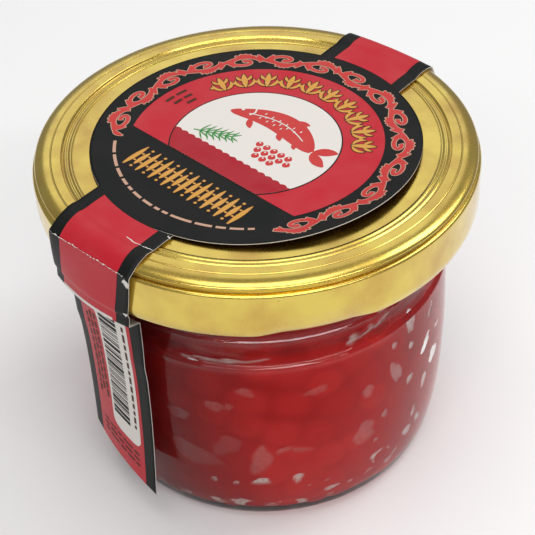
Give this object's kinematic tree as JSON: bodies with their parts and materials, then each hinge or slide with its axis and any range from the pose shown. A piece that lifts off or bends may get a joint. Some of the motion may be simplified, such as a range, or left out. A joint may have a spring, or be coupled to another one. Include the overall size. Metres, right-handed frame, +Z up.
{
  "type": "jar of salmon roe",
  "caption": "Small round clear-glass jar filled with red salmon roe, closed by a gold twist-off lid under a round paper seal label with a strip down the front and back.",
  "frame": {"origin": "centre of the jar's base, on the surface it stands on", "axes": "+Z up along the jar's axis; -Y towards the front strip of the label; +X to the right seen from the front"},
  "size_m": [0.0694, 0.0706, 0.057],
  "materials": {
    "clear_glass": "clear, glossy",
    "roe": "deep red, wet and translucent",
    "gold_lid": "gold lacquer on tinplate, satin to glossy",
    "label_paper": "coated paper printed red, black and white"
  },
  "bodies": {
    "root": {"glass_jar": "clear_glass", "roe": "roe", "lid": "gold_lid", "label": "label_paper"}
  },
  "joints": []
}
